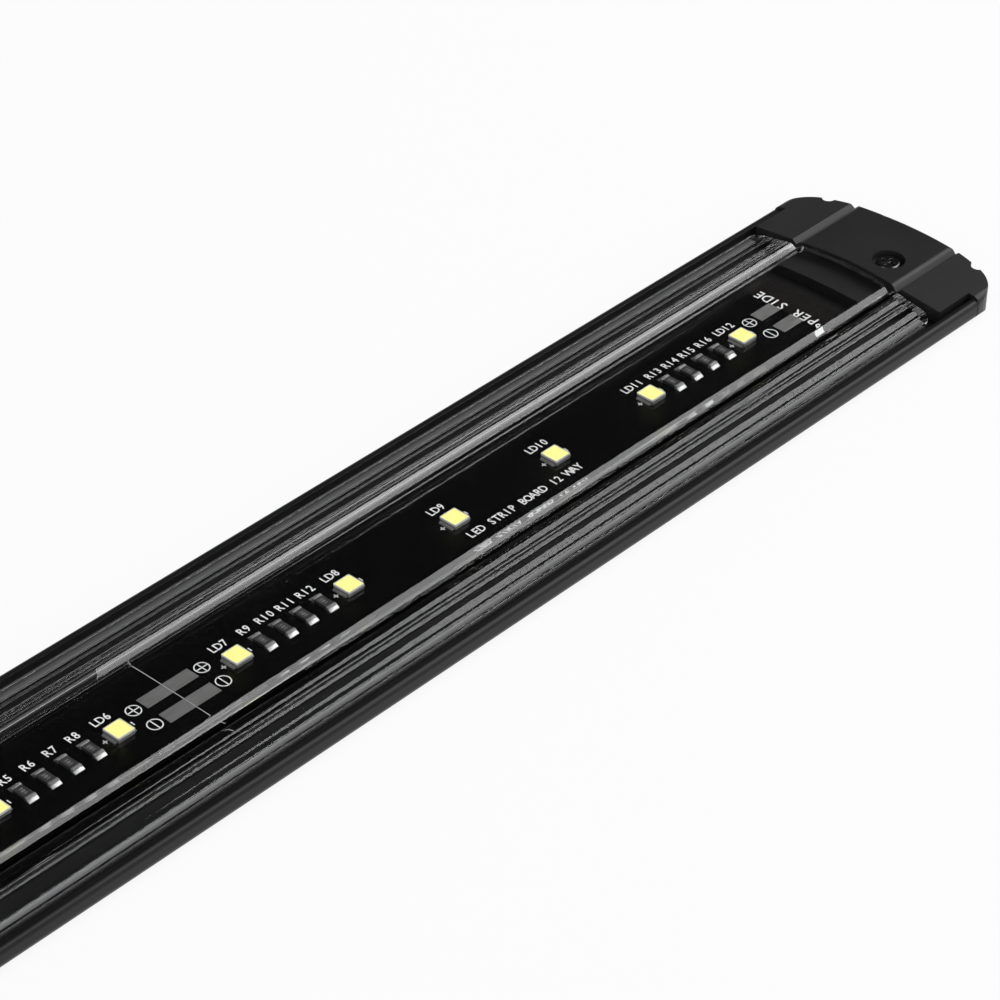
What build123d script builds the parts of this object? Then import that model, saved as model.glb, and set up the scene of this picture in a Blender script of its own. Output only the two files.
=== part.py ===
from build123d import *
import math
import os

# Slim LED light bar: an extruded channel, a clear cover, a strip board of LEDs and two screwed end caps.
# Millimetres. X runs along the bar, Y across it and Z out of the lens.
# The origin is at the middle of the flat back face.

# Board and the parts on it
led_count = 12
board_length = 250.0        # from cut line to cut line, so the LED pitch is this over the count
board_width = 20.0
board_thick = 1.0
rail_length = 5.4           # breakaway rail left on each end of the board
tape_thick = 0.15
tape_width = 19.0
led_side = 3.0
led_height = 0.8
led_window = 2.7
window_depth = 0.3
phosphor_thick = 0.27
resistor_gaps = (1, 5, 7, 11)   # spaces between LEDs, counted from 1, that hold a row of resistors
resistors_per_gap = 4
resistor_pitch = 3.8
resistor_size = (1.6, 3.2, 0.55)
pad_width = 2.3
pad_length = 4.5
pad_offset = 2.1            # from the board's centre line to a pad's centre line
pad_thick = 0.06

# Channel
bar_width = 39.4
floor_thick = 1.0
wall_thick = 1.35
wall_top = 3.45
wall_edge_radius = 0.8
back_edge_radius = 1.6
ledge_width = 2.95          # from the inside of a wall to the ledge's inner edge
ledge_top = 2.0

# Cover lens
lens_slot = 1.3             # open slot between the lens and each wall
lens_thick = 1.6
flank_thick = 1.3
plateau_half = 7.85
plateau_top = 5.25
groove_half = 8.9
groove_top = 4.3
shoulder_half = 10.0
shoulder_top = 4.85
lens_edge_top = 3.5
seal_width = 1.5
seal_thick = 0.3
rib_places = (0.16, 0.33, 0.50, 0.80)   # along each flank's underside, from shoulder to flange
rib_width = 0.5
rib_depth = 0.3
lens_corner_radius = 1.4
lens_crown = 1.0            # how far the plateau's end bulges past its corners
lens_flank_step = 0.3       # how far the flanks end past the plateau's corners

# End caps
tongue_gap = 3.9            # bare floor between the board and the insert's tongue
tongue_length = 4.9         # from the tongue's tip to the lens's crown
tongue_top = 2.6
insert_half = 10.3
insert_top = 3.3
insert_past_lens = 13.0
cap_gap = 1.0               # between the lens's end and the cap's front edge
wall_past_lens = 7.3        # how far the channel runs on past the lens's crown
gasket_thick = 0.3
cap_length = 15.8           # from the lens's crown to the cap's end
cap_drop = 0.15             # cap plate below the lens's plateau
plate_half = 8.85
plate_edge_radius = 1.2
cap_groove_half = 9.7
cap_groove_drop = 0.9
cap_shoulder_half = 10.45
cap_shoulder_drop = 0.25
cap_edge_top = 3.85         # the cap's height at the bar's sides, before its edges are rounded
cap_slot = 0.75             # open slot between the cap's flank and each wall
cap_crown_radius = 60.0
cap_corner_radius = 6.5
cap_edge_radius = 1.3
cap_rim_radius = 0.6
scallop_radius = 1.1
scallop_inset = 5.4         # from the cap's side to the scallop's centre
scallop_bite = 0.8
pocket_clearance = 0.1

# Cap screw
screw_inset = 10.3          # from the cap's end
screw_side = 4.0            # from the centre line
screw_radius = 1.0
screw_head_radius = 1.9
screw_head_height = 0.7
screw_recess_radius = 2.6
screw_seat_drop = 1.1       # head seat below the cap's plate
screw_tip = 1.3
screw_clearance = 0.15
thread_clearance = 0.05
driver_slot = 0.45
driver_depth = 0.4
driver_span = 2.4

# Cable inlet and the leads inside
inlet_height = 2.72
grommet_radius = 1.8
bush_clearance = 0.03
cable_radius = 1.3
lead_radius = 0.5
lead_spread = 0.7
channel_half = 1.9
channel_floor = 1.9
solder_size = (1.6, 1.4, 0.8)

half_width = bar_width / 2
inner_half = half_width - wall_thick
lens_half = inner_half - lens_slot
ledge_half = inner_half - ledge_width
board_base = floor_thick + tape_thick
board_top = board_base + board_thick
led_pitch = board_length / led_count
board_end = board_length / 2 + rail_length
tongue_tip = board_end + tongue_gap
lens_end = tongue_tip + tongue_length
channel_end = lens_end + wall_past_lens
cap_start = channel_end + gasket_thick
cap_end = lens_end + cap_length
insert_end = lens_end + insert_past_lens
lens_base = ledge_top + seal_thick
plate_top = plateau_top - cap_drop
screw_x = cap_end - screw_inset
screw_seat = plate_top - screw_seat_drop
standing = (Align.CENTER, Align.CENTER, Align.MIN)


def mirrored(points):
    """Right-hand half of a section, from the outside in, and its mirror image."""
    return points + [(-y, z) for y, z in reversed(points)]


def extruded(section, start, end):
    return extrude(Plane.YZ.offset(start) * section, amount=end - start)


def block(x_range, y_range, z_range):
    size = [high - low for low, high in (x_range, y_range, z_range)]
    middle = [(high + low) / 2 for low, high in (x_range, y_range, z_range)]
    return Pos(*middle) * Box(*size)


def corners_at(section, y, z):
    """The section's corners at that distance from the centre line and that height."""
    return [v for v in section.vertices() if abs(abs(v.X) - y) < 1e-4 and abs(v.Y - z) < 1e-4]


def turned(shape):
    return Rot(0, 0, 180) * shape


def save(shape, name):
    shape.label = name
    export_step(shape, f"parts/{name}.step")


def channel_section():
    outline = [(half_width, 0), (half_width, wall_top), (inner_half, wall_top),
               (inner_half, ledge_top), (ledge_half, ledge_top), (ledge_half, floor_thick)]
    section = make_face(Polyline(*mirrored(outline), close=True))
    section = fillet(corners_at(section, half_width, 0), back_edge_radius)
    return fillet(corners_at(section, half_width, wall_top), wall_edge_radius)


def flank_height(y, inner, inner_top, outer, outer_top):
    return inner_top + (outer_top - inner_top) * (y - inner) / (outer - inner)


def lens_section():
    flange = lens_half - seal_width
    flank_inner = shoulder_top - flank_thick
    flank_outer = flank_height(flange, shoulder_half, shoulder_top, lens_half, lens_edge_top) - flank_thick
    top = [(lens_half, lens_edge_top), (shoulder_half, shoulder_top),
           (groove_half, groove_top), (plateau_half, plateau_top)]
    under = [(plateau_half - lens_thick / 3, plateau_top - lens_thick),
             (groove_half - lens_thick / 6, groove_top - flank_thick), (shoulder_half, flank_inner)]
    for place in rib_places:
        middle = shoulder_half + place * (flange - shoulder_half)
        for offset, depth in ((-rib_width / 2, 0), (0, rib_depth), (rib_width / 2, 0)):
            y = middle + offset
            under.append((y, flank_height(y, shoulder_half, flank_inner, flange, flank_outer) - depth))
    under += [(flange, lens_base), (lens_half, lens_base)]
    loop = mirrored(top) + [(-y, z) for y, z in reversed(under)] + under
    return make_face(Polyline(*loop, close=True))


def lens_plan():
    """Outline of the lens from above, with crowned plateau ends."""
    corner = lens_end - lens_crown
    flank = corner + lens_flank_step
    right = Polyline((flank, -lens_half), (flank, -groove_half), (corner, -groove_half))
    crown = ThreePointArc((corner, -groove_half), (lens_end, 0), (corner, groove_half))
    right_far = Polyline((corner, groove_half), (flank, groove_half), (flank, lens_half))
    left = [edge.mirror(Plane.YZ) for part in (right, crown, right_far) for edge in part.edges()]
    sides = [Line((-flank, y), (flank, y)) for y in (-lens_half, lens_half)]
    edges = [edge for part in (right, crown, right_far) for edge in part.edges()]
    plan = make_face(edges + left + sides)
    outer = [v for v in plan.vertices() if abs(abs(v.Y) - lens_half) < 1e-4]
    return fillet(outer, lens_corner_radius)


def make_lens():
    body = extruded(lens_section(), -lens_end, lens_end)
    return body & extrude(lens_plan(), amount=plateau_top + 1)


def seal(side):
    """A strip of silicone between a ledge and the lens's flange."""
    inner, outer = sorted((side * (lens_half - seal_width), side * lens_half))
    reach = lens_end - lens_crown + lens_flank_step - lens_corner_radius
    return block((-reach, reach), (inner, outer), (ledge_top, lens_base))


def cap_section():
    shoulder = plate_top - cap_shoulder_drop
    outline = [(half_width, 0), (half_width, cap_edge_top), (cap_shoulder_half, shoulder),
               (cap_groove_half, plate_top - cap_groove_drop), (plate_half, plate_top)]
    section = make_face(Polyline(*mirrored(outline), close=True))
    section = fillet(corners_at(section, half_width, 0), back_edge_radius)
    section = fillet(corners_at(section, plate_half, plate_top), plate_edge_radius)
    return fillet(corners_at(section, half_width, cap_edge_top), cap_edge_radius)


def crown_point(y):
    """Where the cap's crowned end lies at that distance from the centre line."""
    return cap_end - cap_crown_radius + math.sqrt(cap_crown_radius ** 2 - y ** 2)


def cap_plan():
    """Outline of a cap from above: a front edge that follows the lens, a crowned end, round corners."""
    reach = cap_crown_radius - cap_corner_radius
    crown_x = cap_end - cap_crown_radius
    corner_y = half_width - cap_corner_radius
    corner_x = crown_x + math.sqrt(reach ** 2 - corner_y ** 2)
    turn = math.atan2(corner_y, corner_x - crown_x)
    touch = (crown_x + cap_crown_radius * math.cos(turn), cap_crown_radius * math.sin(turn))
    middle = (turn + math.pi / 2) / 2
    knee = (corner_x + cap_corner_radius * math.cos(middle), corner_y + cap_corner_radius * math.sin(middle))
    front_corner = lens_end - lens_crown + cap_gap
    front_flank = front_corner + lens_flank_step
    groove = cap_groove_half
    edges = [
        ThreePointArc((front_corner, -groove), (lens_end + cap_gap, 0), (front_corner, groove)),
        ThreePointArc((touch[0], -touch[1]), (cap_end, 0), touch),
    ]
    for side in (-1, 1):
        corner_start = (corner_x, side * half_width)
        edges += [
            Line((front_corner, side * groove), (front_flank, side * groove)),
            Line((front_flank, side * groove), (front_flank, side * half_width)),
            Line((front_flank, side * half_width), corner_start),
            ThreePointArc(corner_start, (knee[0], side * knee[1]), (touch[0], side * touch[1])),
        ]
    return make_face(edges)


def crown_disc():
    """A disc whose rounded rim softens the top of the cap's end."""
    disc = Pos(cap_end - cap_crown_radius, 0, 0) * Cylinder(cap_crown_radius, plate_top, align=standing)
    return fillet(disc.edges().group_by(Axis.Z)[-1], cap_rim_radius)


def make_cap(side):
    """The cap's shell. side is where its screw sits across the bar."""
    start = lens_end - lens_crown
    shell = extruded(cap_section(), start, cap_end + 1) & extrude(cap_plan(), amount=plate_top + 1)
    shell = shell & crown_disc()
    for hand in (-1, 1):
        outside = sorted((hand * (inner_half - cap_slot), hand * (half_width + 1)))
        shell -= block((start, cap_start), outside, (-1, plate_top))
        scallop_y = hand * (half_width - scallop_inset)
        scallop_x = crown_point(scallop_y) + scallop_radius - scallop_bite
        shell -= Pos(scallop_x, scallop_y, plate_top / 2) * Cylinder(scallop_radius, plate_top + 2)
    shell -= block((start, cap_start), (-half_width, half_width), (-1, ledge_top))
    pocket = insert_half + pocket_clearance
    shell -= block((start - 1, insert_end + pocket_clearance), (-pocket, pocket),
                   (floor_thick, insert_top + pocket_clearance))
    recess = Pos(0, 0, screw_seat) * Cylinder(screw_recess_radius, plate_top, align=standing)
    hole = Pos(0, 0, floor_thick) * Cylinder(screw_radius + screw_clearance, plate_top, align=standing)
    return shell - Pos(screw_x, side * screw_side, 0) * (recess + hole)


def make_insert(side):
    """The tongue that lies in the channel's end and takes the cap's screw."""
    step = lens_end + cap_gap + lens_flank_step
    tip = make_face([
        ThreePointArc((tongue_tip - 0.5, -insert_half), (tongue_tip, 0), (tongue_tip - 0.5, insert_half)),
        Line((tongue_tip - 0.5, insert_half), (step, insert_half)),
        Line((step, insert_half), (step, -insert_half)),
        Line((step, -insert_half), (tongue_tip - 0.5, -insert_half)),
    ])
    body = Pos(0, 0, floor_thick) * extrude(tip, amount=tongue_top - floor_thick)
    body += block((step, insert_end), (-insert_half, insert_half), (floor_thick, insert_top))
    hole = Cylinder(screw_radius + thread_clearance, insert_top, align=standing)
    return body - Pos(screw_x, side * screw_side, screw_tip - 0.1) * hole


def lead_channel():
    return block((tongue_tip - 1, insert_end + 1), (-channel_half, channel_half),
                 (channel_floor, insert_top + 1))


def make_screw(side):
    head = Pos(0, 0, screw_seat) * Cylinder(screw_head_radius, screw_head_height, align=standing)
    head = fillet(head.edges().group_by(Axis.Z)[-1], screw_head_height / 2)
    shank = Pos(0, 0, screw_tip) * Cylinder(screw_radius, screw_seat - screw_tip, align=standing)
    cut_height = screw_seat + screw_head_height - driver_depth / 2
    cross = Pos(0, 0, cut_height) * (Box(driver_span, driver_slot, driver_depth + 0.01)
                                     + Box(driver_slot, driver_span, driver_depth + 0.01))
    return Pos(screw_x, side * screw_side, 0) * (head + shank - cross)


def cable_bore(radius):
    length = cap_end - insert_end + 2
    axis = Rot(0, 90, 0) * Cylinder(radius, length)
    return Pos(insert_end + length / 2 - 1, 0, inlet_height) * axis


def make_grommet():
    """A bush in the cap's end wall, cut to the cap's crowned end."""
    start = insert_end + pocket_clearance
    bush = extruded(Pos(0, inlet_height) * Circle(grommet_radius - bush_clearance), start, cap_end + 1)
    bush = bush & extrude(cap_plan(), amount=plate_top + 1)
    return bush - cable_bore(cable_radius)


def make_lead(side):
    """A lead from the inlet to its pad, with straight runs joined by tangent arcs."""
    start = insert_end - 0.2
    bend_start = tongue_tip + 1.5
    bend_end = board_length / 2 + 1.0
    finish = board_length / 2 - pad_length / 2 + solder_size[0] / 2
    points = [(start, side * lead_spread), (bend_start, side * lead_spread),
              (bend_end, side * pad_offset), (finish, side * pad_offset)]
    turn = math.atan2(pad_offset - lead_spread, bend_start - bend_end)
    radius = 0.45 * (bend_end - finish) / math.tan(turn / 2)
    path = FilletPolyline(*[(x, y, inlet_height) for x, y in points], radius=radius)
    return sweep(Plane(origin=path @ 0, z_dir=path % 0) * Circle(lead_radius), path=path)


def solder_joint(side):
    length, width, height = solder_size
    middle = board_length / 2 - pad_length / 2
    shape = block((middle - length / 2, middle + length / 2),
                  (side * pad_offset - width / 2, side * pad_offset + width / 2),
                  (board_top + pad_thick, board_top + pad_thick + height))
    return fillet(shape.edges().group_by(Axis.Z)[-1], height / 3)


def make_pads():
    """Tinned pads at both cut ends and on each side of the cut line in the middle."""
    pads = []
    for edge in (-board_length / 2, 0, board_length / 2):
        for hand in (-1, 1):
            near, far = sorted((edge + hand * 0.1, edge + hand * pad_length))
            if abs(near + far) / 2 > board_length / 2:
                continue
            for side in (-1, 1):
                row = side * pad_offset
                pads.append(block((near, far), (row - pad_width / 2, row + pad_width / 2),
                                  (board_top, board_top + pad_thick)))
    return Compound(children=pads)


def led_place(number):
    return (number - (led_count + 1) / 2) * led_pitch


def make_led(number):
    body = Pos(led_place(number), 0, board_top + led_height / 2) * Box(led_side, led_side, led_height)
    window = Pos(led_place(number), 0, board_top + led_height) * Box(led_window, led_window, 2 * window_depth)
    return body - window


def make_phosphor(number):
    base = board_top + led_height - window_depth
    return Pos(led_place(number), 0, base + phosphor_thick / 2) * Box(led_window, led_window, phosphor_thick)


def resistor_places():
    places = []
    for gap in resistor_gaps:
        middle = (led_place(gap) + led_place(gap + 1)) / 2
        for index in range(resistors_per_gap):
            places.append(middle + (index - (resistors_per_gap - 1) / 2) * resistor_pitch)
    return places


def main():
    os.makedirs("parts", exist_ok=True)
    save(extruded(channel_section(), -channel_end, channel_end), "housing")
    save(make_lens(), "lens")
    save(seal(-1), "lens_seal_near")
    save(seal(1), "lens_seal_far")
    save(block((-board_end, board_end), (-board_width / 2, board_width / 2),
               (board_base, board_top)), "led_board")
    save(block((-board_length / 2, board_length / 2), (-tape_width / 2, tape_width / 2),
               (floor_thick, board_base)), "thermal_tape")
    save(make_pads(), "solder_pads")
    for number in range(1, led_count + 1):
        save(make_led(number), f"led_{number}")
        save(make_phosphor(number), f"led_phosphor_{number}")
    width, length, height = resistor_size
    for number, place in enumerate(resistor_places(), 1):
        save(Pos(place, 0, board_top + height / 2) * Box(width, length, height), f"resistor_{number}")

    gasket = extruded(channel_section(), channel_end, cap_start)
    save(make_cap(-1), "end_cap_right")
    save(make_insert(-1), "cap_insert_right")
    save(make_screw(-1), "cap_screw_right")
    save(gasket, "cap_gasket_right")
    save(turned(make_cap(-1) - cable_bore(grommet_radius)), "end_cap_left")
    save(turned(make_insert(-1) - lead_channel()), "cap_insert_left")
    save(turned(make_screw(-1)), "cap_screw_left")
    save(turned(gasket), "cap_gasket_left")
    save(turned(make_grommet()), "cable_grommet")
    save(turned(make_lead(-1)), "lead_positive")
    save(turned(make_lead(1)), "lead_negative")
    save(turned(Compound(children=[solder_joint(-1), solder_joint(1)])), "solder_joints")


main()
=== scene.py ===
import bmesh
import bpy
import math
from mathutils import Matrix, Vector


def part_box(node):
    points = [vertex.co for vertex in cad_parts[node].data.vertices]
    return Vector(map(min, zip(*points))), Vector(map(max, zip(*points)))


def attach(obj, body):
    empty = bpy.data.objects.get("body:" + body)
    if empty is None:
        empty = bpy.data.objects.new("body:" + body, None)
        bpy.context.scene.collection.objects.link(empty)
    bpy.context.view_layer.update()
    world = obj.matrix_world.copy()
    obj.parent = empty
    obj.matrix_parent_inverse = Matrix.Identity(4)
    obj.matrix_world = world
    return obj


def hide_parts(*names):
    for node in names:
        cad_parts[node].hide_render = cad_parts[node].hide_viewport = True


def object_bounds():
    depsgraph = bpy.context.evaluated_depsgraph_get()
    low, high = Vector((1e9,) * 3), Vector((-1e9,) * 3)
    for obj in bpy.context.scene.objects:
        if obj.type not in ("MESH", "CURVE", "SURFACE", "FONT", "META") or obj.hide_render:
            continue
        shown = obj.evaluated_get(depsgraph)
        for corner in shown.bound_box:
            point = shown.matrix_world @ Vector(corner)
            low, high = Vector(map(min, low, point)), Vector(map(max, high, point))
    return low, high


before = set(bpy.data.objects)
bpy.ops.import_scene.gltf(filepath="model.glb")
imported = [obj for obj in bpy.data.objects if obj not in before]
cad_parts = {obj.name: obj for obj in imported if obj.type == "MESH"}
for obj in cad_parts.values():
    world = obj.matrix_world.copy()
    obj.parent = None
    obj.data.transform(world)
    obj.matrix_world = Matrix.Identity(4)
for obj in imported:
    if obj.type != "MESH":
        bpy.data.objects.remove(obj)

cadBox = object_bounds()
mm = 0.001
ledNumbers = range(1, 13)
resistorNumbers = range(1, 17)


class Signal:
    # one output of a node; arithmetic on it adds Math nodes
    def __init__(self, nodes, node, name=0):
        self.nodes = nodes
        self.node = node
        self.name = name

    def output(self, name):
        # another output of the same node
        return Signal(self.nodes, self.node, name)

    def maths(self, operation, *values):
        return self.nodes.add("ShaderNodeMath", {"operation": operation}, dict(enumerate(values)))

    def __add__(self, other):
        return self.maths("ADD", self, other)

    def __radd__(self, other):
        return self.maths("ADD", other, self)

    def __sub__(self, other):
        return self.maths("SUBTRACT", self, other)

    def __rsub__(self, other):
        return self.maths("SUBTRACT", other, self)

    def __mul__(self, other):
        return self.maths("MULTIPLY", self, other)

    def __rmul__(self, other):
        return self.maths("MULTIPLY", other, self)

    def __gt__(self, other):
        return self.maths("GREATER_THAN", self, other)

    def __lt__(self, other):
        return self.maths("LESS_THAN", self, other)

    def __abs__(self):
        return self.maths("ABSOLUTE", self)


class Nodes:
    # a node tree, and the one way nodes are put in it
    def __init__(self, tree):
        self.tree = tree
        self.tree.nodes.clear()

    def add(self, kind, settings=None, sockets=None):
        node = self.tree.nodes.new(kind)
        for key, value in (settings or {}).items():
            if key == "stops":
                for element, (place, shade) in zip(node.color_ramp.elements, value):
                    element.position = place
                    element.color = (shade, shade, shade, 1.0)
            else:
                setattr(node, key, value)
        for key, value in (sockets or {}).items():
            socket = node.inputs[key]
            if isinstance(value, Signal):
                self.tree.links.new(value.node.outputs[value.name], socket)
            elif socket.type == "RGBA":
                socket.default_value = (*value, 1.0)
            else:
                socket.default_value = value
        return Signal(self, node)


class Finish(Nodes):
    # a material, and the few steps that the finishes below share
    def __init__(self, name):
        self.material = bpy.data.materials.new(name)
        self.material.use_nodes = True
        super().__init__(self.material.node_tree)

    def place(self, axis):
        # one Object coordinate, in millimetres
        coordinates = self.add("ShaderNodeTexCoord").output("Object")
        return self.add("ShaderNodeSeparateXYZ", None, {0: coordinates}).output(axis) * 1000.0

    def noise(self, scale, stretch=(1.0, 1.0, 1.0), detail=3.0):
        coordinates = self.add("ShaderNodeTexCoord").output("Object")
        mapping = self.add("ShaderNodeMapping", None, {"Vector": coordinates, "Scale": stretch})
        sockets = {"Vector": mapping, "Scale": scale, "Detail": detail}
        return self.add("ShaderNodeTexNoise", None, sockets).output("Fac")

    def blend(self, factor, low, high):
        return self.add("ShaderNodeMix", {"data_type": "RGBA"}, {0: factor, 6: low, 7: high}).output(2)

    def bump(self, height, strength, distance):
        sockets = {"Height": height, "Strength": strength, "Distance": distance}
        return self.add("ShaderNodeBump", None, sockets)

    def surface(self, sockets):
        return self.add("ShaderNodeBsdfPrincipled", None, sockets)

    def mixed(self, factor, first, second):
        return self.add("ShaderNodeMixShader", None, {0: factor, 1: first, 2: second})

    def finish(self, shader):
        self.add("ShaderNodeOutputMaterial", None, {"Surface": shader})
        return self.material


camera = {
    "place": (-239.23 * mm, -267.13 * mm, 293.74 * mm),
    "azimuth": 41.628,
    "elevation": -35.985,
    "roll": 1.117,
    "lens": 128.586,
    "sensor": 36.0,
    "clipStart": 0.01,
}


def setCamera():
    data = bpy.data.cameras.new("camera")
    data.sensor_width = camera["sensor"]
    data.lens = camera["lens"]
    data.clip_start = camera["clipStart"]
    item = bpy.data.objects.new("camera", data)
    bpy.context.scene.collection.objects.link(item)
    azimuth, elevation = math.radians(camera["azimuth"]), math.radians(camera["elevation"])
    turn = Matrix.Rotation(azimuth - math.pi / 2, 4, "Z")
    tilt = Matrix.Rotation(math.pi / 2 + elevation, 4, "X")
    roll = Matrix.Rotation(math.radians(camera["roll"]), 4, "Z")
    item.matrix_world = Matrix.Translation(camera["place"]) @ turn @ tilt @ roll
    bpy.context.scene.camera = item


lamps = {
    "keyPanel": {"azimuth": -24.0, "elevation": 43.0, "distance": 1.6, "size": (1.6, 0.92),
                 "radiance": 4.3},
    "lowPanel": {"azimuth": -95.0, "elevation": 30.0, "distance": 1.5, "size": (0.8, 0.5),
                 "radiance": 2.4},
    "fillPanel": {"azimuth": 170.0, "elevation": 55.0, "distance": 1.5, "size": (1.0, 0.8),
                  "radiance": 2.0},
}


def setLamps():
    for name, lamp in lamps.items():
        data = bpy.data.lights.new(name, "AREA")
        data.shape = "RECTANGLE"
        data.size, data.size_y = lamp["size"]
        data.energy = lamp["radiance"] * math.pi * lamp["size"][0] * lamp["size"][1]
        item = bpy.data.objects.new(name, data)
        bpy.context.scene.collection.objects.link(item)
        azimuth, elevation = math.radians(lamp["azimuth"]), math.radians(lamp["elevation"])
        away = Vector((math.cos(azimuth) * math.cos(elevation), math.sin(azimuth) * math.cos(elevation),
                       math.sin(elevation)))
        item.location = away * lamp["distance"]
        item.rotation_euler = away.to_track_quat("Z", "Y").to_euler()


# pale walls near the horizon, a dark ceiling, and a dark flag that lowers the wall behind the bar
studio = {
    "wall": 0.95,
    "wallTop": 0.36,
    "ceiling": 0.012,
    "ceilingStart": 0.46,
    "flagAzimuth": 48.0,
    "flagDepth": 0.20,
}


def setWorld():
    world = bpy.data.worlds.new("studio")
    bpy.context.scene.world = world
    world.use_nodes = True
    nodes = Nodes(world.node_tree)
    direction = nodes.add("ShaderNodeTexCoord").output("Generated")
    split = nodes.add("ShaderNodeSeparateXYZ", None, {0: direction})
    along, across, up = [split.output(axis) for axis in range(3)]
    turn = math.radians(studio["flagAzimuth"])
    towards = along * math.cos(turn) + across * math.sin(turn)
    facing = towards.maths("MAXIMUM", 0.0, towards)
    height = up + facing * studio["flagDepth"] * (up > 0.0)
    stops = ((studio["wallTop"], studio["wall"]), (studio["ceilingStart"], studio["ceiling"]))
    shade = nodes.add("ShaderNodeValToRGB", {"stops": stops}, {0: height})
    background = nodes.add("ShaderNodeBackground", None, {0: shade})
    nodes.add("ShaderNodeOutputWorld", None, {0: background})


floorSettings = {
    "radius": 3.0,
    "segments": 96,
    "drop": 0.05 * mm,
    "colour": (0.93, 0.93, 0.93),
    "roughness": 0.9,
    "glow": 0.89,
}


def setFloor():
    form = bmesh.new()
    bmesh.ops.create_circle(form, cap_ends=True, segments=floorSettings["segments"],
                            radius=floorSettings["radius"])
    bmesh.ops.translate(form, verts=form.verts, vec=(0, 0, cadBox[0][2] - floorSettings["drop"]))
    floor = asObject("floor", form)
    paint = Finish("paleFloor")
    path = paint.add("ShaderNodeLightPath")
    seen = path.output("Is Camera Ray")
    for kind in ("Is Glossy Ray", "Is Transmission Ray"):
        seen = seen.maths("MAXIMUM", seen, path.output(kind))
    matt = paint.surface({"Base Color": floorSettings["colour"], "Roughness": floorSettings["roughness"],
                          "Specular IOR Level": 0.0})
    glow = paint.add("ShaderNodeEmission", None, {"Color": (1.0, 1.0, 1.0), "Strength": 1.0})
    floor.data.materials.append(paint.finish(paint.mixed(seen * floorSettings["glow"], matt, glow)))


def asObject(name, form):
    mesh = bpy.data.meshes.new(name)
    form.to_mesh(mesh)
    form.free()
    item = bpy.data.objects.new(name, mesh)
    bpy.context.scene.collection.objects.link(item)
    return item


def smooth(item, angle=28.0):
    item.data.shade_smooth()
    item.data.set_sharp_from_angle(angle=math.radians(angle))
    even = item.modifiers.new("evenShading", "WEIGHTED_NORMAL")
    even.keep_sharp = True
    return item


def bevelEdges(form, edges, width, segments):
    bmesh.ops.bevel(form, geom=edges, affect="EDGES", offset=width, offset_type="OFFSET",
                    segments=segments, profile=0.5, material=-1, clamp_overlap=True)


def bevelSharp(form, width, segments=2, angle=30.0):
    form.normal_update()
    limit = math.radians(angle)
    edges = [e for e in form.edges if len(e.link_faces) == 2 and e.calc_face_angle(0.0) > limit]
    bevelEdges(form, edges, width, segments)


def mergedCopy(node, merge=0.001 * mm, flat=0.6):
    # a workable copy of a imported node: doubles merged, flat triangles dissolved
    form = bmesh.new()
    form.from_mesh(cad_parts[node].data)
    bmesh.ops.remove_doubles(form, verts=form.verts, dist=merge)
    bmesh.ops.dissolve_limit(form, angle_limit=math.radians(flat), verts=form.verts, edges=form.edges)
    return form


def finished(item, material, nodes=()):
    item.data.materials.clear()
    item.data.materials.append(material)
    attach(item, "root")
    if nodes:
        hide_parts(*nodes)
    return item


def roundedPiece(name, node, width, material, segments=2):
    form = mergedCopy(node)
    bevelSharp(form, width, segments)
    return finished(smooth(asObject(name, form)), material, [node])


def slab(form, centre, size):
    made = bmesh.ops.create_cube(form, size=1.0)["verts"]
    bmesh.ops.scale(form, verts=made, vec=size)
    bmesh.ops.translate(form, verts=made, vec=centre)
    return made


def wedge(form, centre, size, axis, side, fall):
    # a slab whose outer top edge is lowered, as solder runs out on to the board
    made = slab(form, centre, size)
    outer = [v for v in made if (v.co[axis] - centre[axis]) * side > 0 and v.co.z > centre[2]]
    bmesh.ops.translate(form, verts=outer, vec=(0, 0, -fall * size[2]))


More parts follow.
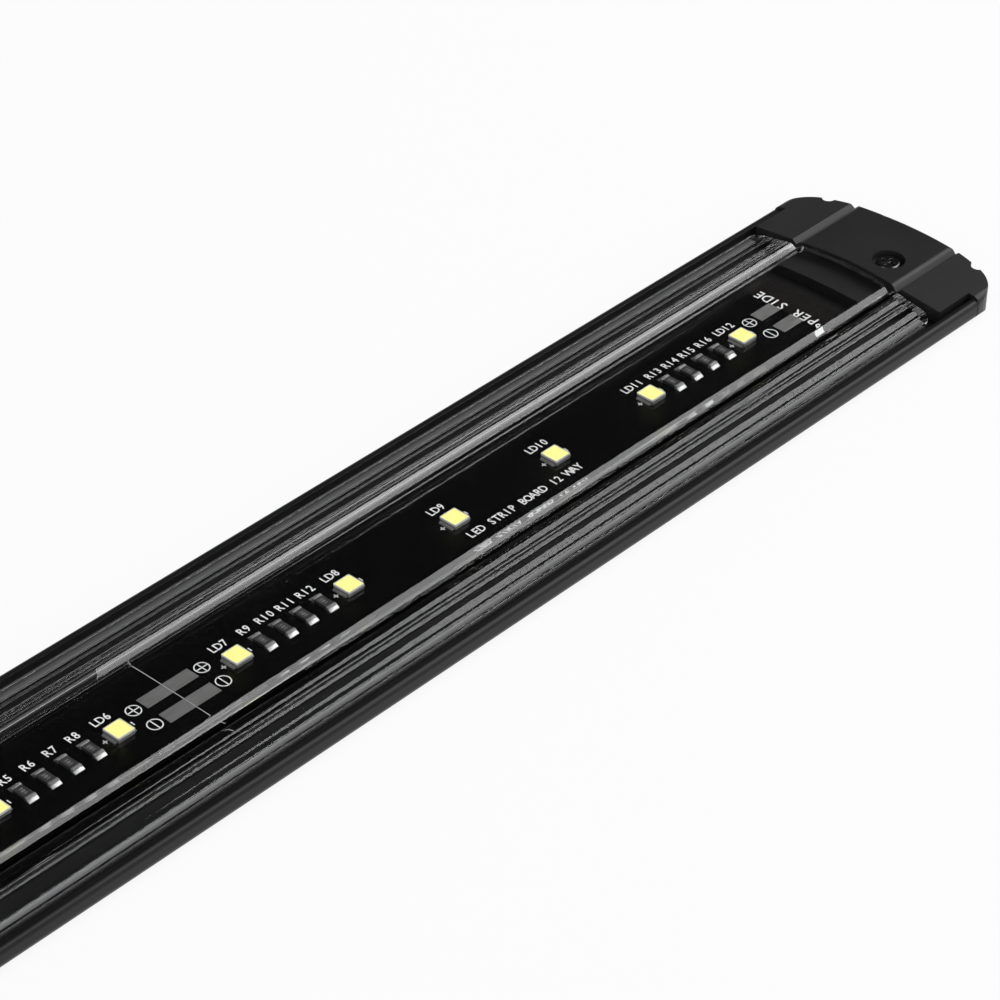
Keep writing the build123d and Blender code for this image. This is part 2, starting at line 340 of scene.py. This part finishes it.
# cloudy finishes: how fine the clouds are, two colours, and the roughness with how far the clouds raise it
cloudyFinishes = {
    "plainBlackMoulding": {"scale": 400.0, "colours": ((0.004, 0.004, 0.0043), (0.007, 0.007, 0.007)),
                           "roughness": (0.55, 0.1), "specular": 0.2},
    "whiteInk": {"scale": 2500.0, "colours": ((0.60, 0.60, 0.60), (0.86, 0.86, 0.86)),
                 "roughness": (0.55, 0.0)},
    "greyMark": {"scale": 2500.0, "colours": ((0.16, 0.16, 0.16), (0.26, 0.26, 0.26)),
                 "roughness": (0.5, 0.0)},
    "tinnedCopper": {"scale": 1500.0, "colours": ((0.30, 0.30, 0.295), (0.54, 0.54, 0.53)),
                     "roughness": (0.36, 0.2), "metallic": 1.0, "bump": (0.4, 0.04 * mm)},
    "dullTin": {"scale": 2600.0, "stretch": (0.2, 1.0, 1.0),
                "colours": ((0.20, 0.20, 0.195), (0.34, 0.34, 0.33)),
                "roughness": (0.42, 0.2), "metallic": 1.0, "bump": (0.5, 0.04 * mm)},
    "sawnAcrylic": {"scale": 3000.0, "colours": ((0.10, 0.10, 0.102), (0.16, 0.16, 0.163)),
                    "roughness": (0.4, 0.0)},
    "yellowPhosphor": {"scale": 1400.0, "colours": ((1.0, 0.93, 0.27), (1.0, 0.97, 0.36)),
                       "roughness": (0.3, 0.0)},
    "blackChip": {"scale": 2200.0, "colours": ((0.012, 0.012, 0.012), (0.03, 0.03, 0.03)),
                  "roughness": (0.35, 0.1)},
    # also painted on the lens's long edges, as the shade of the slot beside them
    "mattRubberAndPaintedShade": {"scale": 900.0, "colours": ((0.010, 0.010, 0.010), (0.018, 0.018, 0.018)),
                   "roughness": (0.75, 0.1)},
    "blackZinc": {"scale": 1600.0, "colours": ((0.07, 0.07, 0.072), (0.15, 0.15, 0.155)),
                  "roughness": (0.20, 0.12), "metallic": 1.0},
    "thermalFilm": {"scale": 600.0, "colours": ((0.42, 0.42, 0.44), (0.55, 0.55, 0.57)),
                    "roughness": (0.6, 0.0)},
    "redInsulation": {"scale": 700.0, "colours": ((0.44, 0.016, 0.012), (0.55, 0.02, 0.015)),
                      "roughness": (0.3, 0.1)},
    "blackInsulation": {"scale": 700.0, "colours": ((0.0112, 0.0112, 0.0112), (0.014, 0.014, 0.014)),
                        "roughness": (0.3, 0.1)},
}


def cloudyFinish(name):
    settings = cloudyFinishes[name]
    paint = Finish(name)
    cloud = paint.noise(settings["scale"], settings.get("stretch", (1.0, 1.0, 1.0)))
    roughness, spread = settings["roughness"]
    sockets = {
        "Base Color": paint.blend(cloud, *settings["colours"]),
        "Roughness": roughness,
        "Metallic": settings.get("metallic", 0.0),
        "Specular IOR Level": settings.get("specular", 0.5),
    }
    if spread:
        sockets["Roughness"] = roughness + spread * cloud
    if "bump" in settings:
        sockets["Normal"] = paint.bump(cloud, *settings["bump"])
    return paint.finish(paint.surface(sockets))


coatSettings = {
    "grain": 9000.0,
    "grainStretch": (0.02, 1.0, 1.0),     # drawn out along the bar, as extrusion lines are
    "grainDetail": 2.0,
    "grainBump": (0.12, 0.02 * mm),
    "cloud": 60.0,
    "colours": ((0.007, 0.007, 0.0073), (0.011, 0.011, 0.0115)),
    "specular": 0.2,
    "roughness": 0.30,
    "cloudRoughness": 0.12,
    "insideHalf": 17.2,     # the hollow of the channel, painted near black as shade, in millimetres
    "insideLow": 0.5,
    "insideHigh": 2.2,
    "hollowShadeColour": (0.001, 0.001, 0.001),
    "insideRoughness": 0.35,
}


def channelFinish():
    paint = Finish("satinBlackCoat")
    grain = paint.noise(coatSettings["grain"], coatSettings["grainStretch"], coatSettings["grainDetail"])
    cloud = paint.noise(coatSettings["cloud"])
    across, up = paint.place("Y"), paint.place("Z")
    # inside the hollow the coat is painted near black as shade, and made rougher
    inside = ((abs(across) < coatSettings["insideHalf"]) * (up > coatSettings["insideLow"])
              * (up < coatSettings["insideHigh"]))
    coat = paint.blend(cloud, *coatSettings["colours"])
    roughness = coatSettings["roughness"] + coatSettings["cloudRoughness"] * cloud
    return paint.finish(paint.surface({
        "Base Color": paint.blend(inside, coat, coatSettings["hollowShadeColour"]),
        "Specular IOR Level": coatSettings["specular"],
        "Roughness": roughness + coatSettings["insideRoughness"] * inside,
        "Normal": paint.bump(grain, *coatSettings["grainBump"])}))


mouldingSettings = {
    "grain": 5200.0,
    "grainDetail": 4.0,
    "grainBump": (0.25, 0.02 * mm),
    "cloud": 90.0,
    "colours": ((0.009, 0.009, 0.0095), (0.014, 0.014, 0.0145)),
    "specular": 0.32,
    "roughness": 0.36,
    "cloudRoughness": 0.12,
}


def capFinish():
    paint = Finish("texturedBlackMoulding")
    grain = paint.noise(mouldingSettings["grain"], detail=mouldingSettings["grainDetail"])
    cloud = paint.noise(mouldingSettings["cloud"])
    return paint.finish(paint.surface({
        "Base Color": paint.blend(cloud, *mouldingSettings["colours"]),
        "Specular IOR Level": mouldingSettings["specular"],
        "Roughness": mouldingSettings["roughness"] + mouldingSettings["cloudRoughness"] * cloud,
        "Normal": paint.bump(grain, *mouldingSettings["grainBump"])}))


acrylicSettings = {
    "colour": (0.99, 0.993, 0.995),
    "ior": 1.49,
    "shadow": (0.95, 0.953, 0.955),
    "clearRoughness": 0.0,
    "drawnRoughness": 0.24,
}


def lensFinish(name, roughness):
    paint = Finish(name)
    clear = paint.surface({"Base Color": acrylicSettings["colour"], "Roughness": roughness,
                           "IOR": acrylicSettings["ior"], "Transmission Weight": 1.0})
    passing = paint.add("ShaderNodeBsdfTransparent", None, {"Color": acrylicSettings["shadow"]})
    shadowRay = paint.add("ShaderNodeLightPath").output("Is Shadow Ray")
    return paint.finish(paint.mixed(shadowRay, clear, passing))


maskSettings = {
    "half": 125.0 * mm,     # half the length of the printed board, between its two rails
    "colour": (0.0008, 0.0008, 0.0008),
    "railColour": (0.010, 0.0085, 0.008),
    "specular": 0.35,
    "cloud": 700.0,
    "roughness": 0.12,
    "cloudRoughness": 0.05,
}


def boardFinish():
    paint = Finish("blackSolderMask")
    along = paint.place("X")
    rail = abs(along) > maskSettings["half"] / mm
    cloud = paint.noise(maskSettings["cloud"])
    return paint.finish(paint.surface({
        "Base Color": paint.blend(rail, maskSettings["colour"], maskSettings["railColour"]),
        "Specular IOR Level": maskSettings["specular"],
        "Roughness": maskSettings["roughness"] + maskSettings["cloudRoughness"] * cloud}))


packageSettings = {
    "cloud": 1800.0,
    "colours": ((0.50, 0.50, 0.49), (0.66, 0.66, 0.64)),
    "baseShadeColour": (0.12, 0.12, 0.118),
    "baseHeight": 0.5,     # the lower part of a package, painted grey as shade near the board, in millimetres
    "roughness": 0.4,
}


def ledFinish():
    paint = Finish("whiteLedPackage")
    cloud = paint.noise(packageSettings["cloud"])
    up = paint.place("Z")
    white = paint.blend(cloud, *packageSettings["colours"])
    # the white sides are painted grey near the board, as shade
    base = up < boardTop / mm + packageSettings["baseHeight"]
    return paint.finish(paint.surface({
        "Base Color": paint.blend(base, white, packageSettings["baseShadeColour"]),
        "Roughness": packageSettings["roughness"]}))


sealSettings = {
    "edge": 0.05 * mm,
    "cloud": 500.0,
    "cloudStretch": (0.1, 1.0, 1.0),
    "cloudLoss": 0.25,
    "colours": ((0.06, 0.06, 0.06), (0.56, 0.56, 0.565)),
    "reflectionLine": 15.6,     # a painted reflection makes the silicone palest from here inwards, in millimetres
    "reflectionFade": 0.8,     # and the painted reflection loses this much per millimetre further out, as painted shade
    "farShadeLoss": 0.55,     # how much duller the far strip is painted, as shade
    "roughness": 0.45,
}


def sealFinish():
    paint = Finish("siliconeWithPaintedReflection")
    cloud = paint.noise(sealSettings["cloud"], sealSettings["cloudStretch"])
    across = paint.place("Y")
    # the pale band is a painted reflection of the lamp; its outward fade and the darker far strip are
    # painted shade
    rise = 1.0 - sealSettings["reflectionFade"] * (abs(across) - sealSettings["reflectionLine"])
    pale = rise.maths("MAXIMUM", 0.0, rise)
    patches = 1.0 - sealSettings["cloudLoss"] + sealSettings["cloudLoss"] * cloud
    pale = pale * patches * (1.0 - sealSettings["farShadeLoss"] * (across > 0.0))
    return paint.finish(paint.surface({
        "Base Color": paint.blend(pale, *sealSettings["colours"]),
        "Roughness": sealSettings["roughness"]}))


print("stage: camera, lamps and floor")
bpy.context.scene.view_settings.view_transform = "Standard"
setCamera()
setLamps()
setWorld()
setFloor()

print("stage: finishes")
boardLow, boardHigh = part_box("led_board")
boardTop = boardHigh.z
satinCoat = channelFinish()
moulding = capFinish()
acrylic = lensFinish("clearAcrylic", acrylicSettings["clearRoughness"])
drawnAcrylic = lensFinish("drawnAcrylic", acrylicSettings["drawnRoughness"])
mask = boardFinish()
whitePackage = ledFinish()
silicone = sealFinish()
cloudy = {name: cloudyFinish(name) for name in cloudyFinishes}

print("stage: channel, lens and caps")
channelSettings = {"edge": 0.12 * mm}
roundedPiece("channelBody", "housing", channelSettings["edge"], satinCoat)

lensSettings = {
    "endRound": 0.45 * mm,
    "endSegments": 4,
    "endLowest": 3.0 * mm,     # the end edges below this height stay sharp
    "underside": 3.95 * mm,     # height of the flank's underside at flankStart
    "flankStart": 10.0 * mm,
    "slope": -0.191,
    "ribReach": 0.27 * mm,
    # where each rib is and how far it shifts, in millimetres
    "ribShifts": ((10.89, 0.56), (11.83, 0.14), (12.78, 0.08), (14.44, 0.40)),
    "shadedEdgesFrom": 16.9 * mm,     # the black edges, painted shade of the dark slot beside the lens, start this far from the middle line
    "drawnWall": (-9.9 * mm, -7.9 * mm),
    # how squarely a face looks up, along the bar or across it to count as top, end, edge or wall
    "topFacing": 0.7,
    "endEdgeFacing": 0.3,
    "endFacing": 0.15,
    "edgeFacing": 0.9,
    "wallFacing": 0.3,
}


def spreadRibs(form):
    # the small ribs under each flank sit a little further out, in the same sloping plane
    slope = lensSettings["slope"]
    for vertex in form.verts:
        y = abs(vertex.co.y)
        top = lensSettings["underside"] + slope * (y - lensSettings["flankStart"])
        for place, shift in lensSettings["ribShifts"]:
            if abs(y - place * mm) < lensSettings["ribReach"] and vertex.co.z < top:
                vertex.co.y += math.copysign(shift * mm, vertex.co.y)
                vertex.co.z += slope * shift * mm


def roundLensEnds(form):
    form.normal_update()
    ends = []
    for edge in form.edges:
        normals = [f.normal for f in edge.link_faces]
        if len(normals) != 2 or min(v.co.z for v in edge.verts) <= lensSettings["endLowest"]:
            continue
        up = max(n.z for n in normals)
        along = max(abs(n.x) for n in normals)
        if up > lensSettings["topFacing"] and along > lensSettings["endEdgeFacing"]:
            ends.append(edge)
    bevelEdges(form, ends, lensSettings["endRound"], lensSettings["endSegments"])


def makeLens():
    form = mergedCopy("lens")
    spreadRibs(form)
    roundLensEnds(form)
    form.normal_update()
    wallStart, wallEnd = lensSettings["drawnWall"]
    for face in form.faces:
        y = face.calc_center_median().y
        if abs(face.normal.x) > lensSettings["endFacing"]:
            face.material_index = 1     # sawnAcrylic: the ends and their edges
        elif abs(face.normal.y) > lensSettings["edgeFacing"] and abs(y) > lensSettings["shadedEdgesFrom"]:
            face.material_index = 2     # black down the long edges, painted shade of the dark slot
        elif face.normal.z > lensSettings["wallFacing"] and wallStart < y < wallEnd:
            face.material_index = 3     # drawnAcrylic: the near wall of the plateau
    lens = finished(smooth(asObject("clearLens", form)), acrylic, ["lens"])
    for material in (cloudy["sawnAcrylic"], cloudy["mattRubberAndPaintedShade"], drawnAcrylic):
        lens.data.materials.append(material)


makeLens()
roundedPiece("nearSeal", "lens_seal_near", sealSettings["edge"], silicone)
roundedPiece("farSeal", "lens_seal_far", sealSettings["edge"], silicone)

capSettings = {"capEdge": 0.18 * mm, "capSegments": 3, "insertEdge": 0.12 * mm, "screwEdge": 0.06 * mm,
               "gasketEdge": 0.03 * mm, "grommetEdge": 0.15 * mm}
for side in ("right", "left"):
    roundedPiece(side + "Cap", "end_cap_" + side, capSettings["capEdge"], moulding,
                 capSettings["capSegments"])
    roundedPiece(side + "Insert", "cap_insert_" + side, capSettings["insertEdge"],
                 cloudy["plainBlackMoulding"])
    roundedPiece(side + "Screw", "cap_screw_" + side, capSettings["screwEdge"],
                 cloudy["blackZinc"])
    roundedPiece(side + "Gasket", "cap_gasket_" + side, capSettings["gasketEdge"],
                 cloudy["mattRubberAndPaintedShade"])
roundedPiece("cableGrommet", "cable_grommet", capSettings["grommetEdge"], cloudy["mattRubberAndPaintedShade"])

print("stage: board, lights and resistors")
boardSettings = {"boardEdge": 0.06 * mm, "tapeEdge": 0.02 * mm, "padEdge": 0.02 * mm,
                 "jointEdge": 0.1 * mm, "leadEdge": 0.03 * mm}
roundedPiece("stripBoard", "led_board", boardSettings["boardEdge"], mask)
roundedPiece("thermalTape", "thermal_tape", boardSettings["tapeEdge"], cloudy["thermalFilm"])
roundedPiece("tinnedPads", "solder_pads", boardSettings["padEdge"], cloudy["dullTin"])
roundedPiece("leadJoints", "solder_joints", boardSettings["jointEdge"], cloudy["tinnedCopper"])
roundedPiece("redLead", "lead_positive", boardSettings["leadEdge"],
             cloudy["redInsulation"])
roundedPiece("blackLead", "lead_negative", boardSettings["leadEdge"],
             cloudy["blackInsulation"])

ledSettings = {
    "cornerRound": 0.18 * mm,
    "cornerSegments": 3,
    "rim": 0.12 * mm,
    "sink": 0.2 * mm,
    "fillThickness": 0.19 * mm,
    "fillDepth": 0.115 * mm,     # from the top of a package to the middle of its fill
    "fillGap": 1.02,     # the fill stands this many rims inside the package
    "shortest": 0.1 * mm,     # an upright edge is taller than this
    "topFacing": 0.9,
    "smoothAngle": 40.0,
}


def roundUprights(form):
    # the four upright corners of an LED package or of its fill
    upright = [e for e in form.edges if abs(e.verts[0].co.z - e.verts[1].co.z) > ledSettings["shortest"]]
    bevelEdges(form, upright, ledSettings["cornerRound"], ledSettings["cornerSegments"])


def makeLed(number):
    node = f"led_{number}"
    low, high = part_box(node)
    form = bmesh.new()
    slab(form, (low + high) / 2, high - low)
    roundUprights(form)
    form.normal_update()
    top = [f for f in form.faces if f.normal.z > ledSettings["topFacing"]]
    bmesh.ops.inset_region(form, faces=top, thickness=ledSettings["rim"], use_even_offset=True)
    wall = bmesh.ops.extrude_face_region(form, geom=top)
    sunk = [v for v in wall["geom"] if isinstance(v, bmesh.types.BMVert)]
    bmesh.ops.translate(form, verts=sunk, vec=(0, 0, -ledSettings["sink"]))
    bmesh.ops.delete(form, geom=top, context="FACES")
    bmesh.ops.recalc_face_normals(form, faces=form.faces)
    item = smooth(asObject(f"ledPackage{number}", form), ledSettings["smoothAngle"])
    finished(item, whitePackage, [node])


def makePhosphor(number):
    low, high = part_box(f"led_{number}")
    rim = ledSettings["rim"] * ledSettings["fillGap"]
    form = bmesh.new()
    size = (high.x - low.x - 2 * rim, high.y - low.y - 2 * rim, ledSettings["fillThickness"])
    centre = ((low.x + high.x) / 2, (low.y + high.y) / 2, high.z - ledSettings["fillDepth"])
    slab(form, centre, size)
    roundUprights(form)
    bmesh.ops.recalc_face_normals(form, faces=form.faces)
    item = smooth(asObject(f"phosphorFill{number}", form), ledSettings["smoothAngle"])
    finished(item, cloudy["yellowPhosphor"], [f"led_phosphor_{number}"])


# the fall is how far the outer top edge drops, as a part of the height
ledLeadSettings = {"size": (0.38 * mm, 2.5 * mm, 0.22 * mm), "fall": 0.6, "smoothAngle": 20.0}


def makeLedLeads():
    form = bmesh.new()
    size = ledLeadSettings["size"]
    for number in ledNumbers:
        low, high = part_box(f"led_{number}")
        for side, edge in ((-1, low.x), (1, high.x)):
            centre = (edge + side * size[0] / 2, (low.y + high.y) / 2, low.z + size[2] / 2)
            wedge(form, centre, size, 0, side, ledLeadSettings["fall"])
    bmesh.ops.recalc_face_normals(form, faces=form.faces)
    item = smooth(asObject("ledLeads", form), ledLeadSettings["smoothAngle"])
    finished(item, cloudy["tinnedCopper"])


resistorSettings = {
    "shrink": 0.03 * mm,     # the chip stands this far inside its node, under the metal ends
    "edge": 0.05 * mm,
    "endLength": 0.48 * mm,
    "filletLength": 0.5 * mm,
    "filletHeight": 0.36 * mm,
    "filletWidth": 1.04,     # times the width of the chip
    "filletFall": 0.8,
    "chipAngle": 40.0,
    "endAngle": 30.0,
}


def makeResistor(number):
    node = f"resistor_{number}"
    low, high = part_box(node)
    shrink = resistorSettings["shrink"]
    form = bmesh.new()
    size = high - low
    slab(form, (low + high) / 2, (size.x - 2 * shrink, size.y - 2 * shrink, size.z - 2 * shrink))
    bevelSharp(form, resistorSettings["edge"])
    item = smooth(asObject(f"chipResistor{number}", form), resistorSettings["chipAngle"])
    finished(item, cloudy["blackChip"], [node])


def makeResistorEnds():
    form = bmesh.new()
    length = resistorSettings["endLength"]
    reach, rise = resistorSettings["filletLength"], resistorSettings["filletHeight"]
    for number in resistorNumbers:
        low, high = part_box(f"resistor_{number}")
        middle = (low + high) / 2
        width = high.x - low.x
        for side, edge in ((-1, low.y), (1, high.y)):
            slab(form, (middle.x, edge - side * length / 2, middle.z), (width, length, high.z - low.z))
            centre = (middle.x, edge + side * reach / 2, low.z + rise / 2)
            size = (width * resistorSettings["filletWidth"], reach, rise)
            wedge(form, centre, size, 1, side, resistorSettings["filletFall"])
    bmesh.ops.recalc_face_normals(form, faces=form.faces)
    bevelSharp(form, resistorSettings["edge"])
    item = smooth(asObject("resistorEnds", form), resistorSettings["endAngle"])
    finished(item, cloudy["tinnedCopper"])


for number in ledNumbers:
    makeLed(number)
    makePhosphor(number)
makeLedLeads()
for number in resistorNumbers:
    makeResistor(number)
makeResistorEnds()

letterSettings = {
    "pitch": 0.76,     # times the height of the letters
    "size": 1.38,     # font size for letters of height one
    "narrow": 0.88,
    "weight": 0.02 * mm,
    "resolution": 2,
    "thick": 0.012 * mm,
}


def words(form, text, centre, height, turn=0.0):
    # evenly pitched characters, as a board plotter draws them
    pitch = height * letterSettings["pitch"]
    for index, letter in enumerate(text):
        curve = bpy.data.curves.new("letter", "FONT")
        curve.body = letter
        curve.size = height * letterSettings["size"]
        curve.align_x = "CENTER"
        curve.align_y = "CENTER"
        curve.resolution_u = letterSettings["resolution"]
        curve.extrude = letterSettings["thick"] / 2
        curve.offset = letterSettings["weight"]
        item = bpy.data.objects.new("letter", curve)
        mesh = bpy.data.meshes.new_from_object(item)
        step = (index - (len(text) - 1) / 2) * pitch
        mesh.transform(Matrix.Translation(centre) @ Matrix.Rotation(math.radians(turn), 4, "Z")
                       @ Matrix.Translation((step, 0, 0))
                       @ Matrix.Diagonal((letterSettings["narrow"], 1, 1, 1)))
        form.from_mesh(mesh)
        bpy.data.objects.remove(item)
        bpy.data.curves.remove(curve)
        bpy.data.meshes.remove(mesh)


printSettings = {
    "height": 1.4 * mm,
    "row": 3.6 * mm,     # the middle of the row of labels
    "shift": 0.1 * mm,
    "line": 0.16 * mm,
    "dash": 0.8 * mm,
    "plusGap": 0.9 * mm,     # from a package to the small plus on its left
    "barGap": 1.0 * mm,     # and to the small bar on its right
    "barRise": 0.2 * mm,
    "ring": 1.12 * mm,
    "ringSegments": 40,
    "ringRow": 2.0 * mm,
    "ringFromEnd": 6.2 * mm,
    "ringMiddle": (-6.1 * mm, 6.0 * mm),
    "boardName": ("LED STRIP BOARD 12 WAY", 62.5 * mm, -3.7 * mm),
    "sideNote": ("UPPER SIDE", 125.9 * mm, -0.8 * mm),
    "sideNoteHeight": 1.9 * mm,
    "sideNoteTurn": 90.0,
}


def bar(form, x, y, length, width):
    thick = letterSettings["thick"]
    slab(form, (x, y, boardTop + thick / 2), (length, width, thick))


def ring(form, x, y):
    made = bmesh.ops.create_circle(form, cap_ends=True, segments=printSettings["ringSegments"],
                                   radius=printSettings["ring"])["verts"]
    face = made[0].link_faces[0]
    band = bmesh.ops.inset_region(form, faces=[face], thickness=printSettings["line"],
                                  use_boundary=True)["faces"]
    points = {v for f in band for v in f.verts}
    bmesh.ops.delete(form, geom=[face], context="FACES_ONLY")
    bmesh.ops.translate(form, verts=list(points), vec=(x, y, boardTop + letterSettings["thick"]))


def makePrint():
    form = bmesh.new()
    top = boardTop + letterSettings["thick"] / 2
    line, row, height = printSettings["line"], printSettings["row"], printSettings["height"]
    dash, shift, ringWidth = printSettings["dash"], printSettings["shift"], 2 * printSettings["ring"]
    for number in ledNumbers:
        low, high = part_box(f"led_{number}")
        words(form, f"LD{number}", ((low.x + high.x) / 2 + shift, row, top), height)
        bar(form, low.x - printSettings["plusGap"], 0, dash, line)
        bar(form, low.x - printSettings["plusGap"], 0, line, dash)
        bar(form, high.x + printSettings["barGap"], printSettings["barRise"], line, dash)
    for number in resistorNumbers:
        low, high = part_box(f"resistor_{number}")
        words(form, f"R{number}", ((low.x + high.x) / 2 + shift, row, top), height)
    half, fromEnd = maskSettings["half"], printSettings["ringFromEnd"]
    for x in (fromEnd - half, *printSettings["ringMiddle"], half - fromEnd):
        for y in (-printSettings["ringRow"], printSettings["ringRow"]):
            ring(form, x, y)
            bar(form, x, y, line, ringWidth)
            if y > 0:
                bar(form, x, y, ringWidth, line)
    name, x, y = printSettings["boardName"]
    words(form, name, (x, y, top), height)
    note, x, y = printSettings["sideNote"]
    words(form, note, (x, y, top), printSettings["sideNoteHeight"], printSettings["sideNoteTurn"])
    finished(asObject("boardPrint", form), cloudy["whiteInk"])


markSettings = {"text": "101", "height": 0.62 * mm, "depth": 0.024 * mm, "turn": 90.0}


def makeResistorMarks():
    form = bmesh.new()
    for number in resistorNumbers:
        low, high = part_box(f"resistor_{number}")
        centre = ((low.x + high.x) / 2, (low.y + high.y) / 2, high.z - markSettings["depth"])
        words(form, markSettings["text"], centre, markSettings["height"], markSettings["turn"])
    finished(asObject("resistorMarks", form), cloudy["greyMark"])


scoreSettings = {"width": 0.09 * mm, "margin": 0.1 * mm}


def makeScoreLine():
    # the line across the middle where the board snaps in two
    form = bmesh.new()
    bar(form, 0, 0, scoreSettings["width"], boardHigh.y - boardLow.y - scoreSettings["margin"])
    finished(asObject("scoreLine", form), cloudy["thermalFilm"])


print("stage: print on the board")
makePrint()
makeResistorMarks()
makeScoreLine()
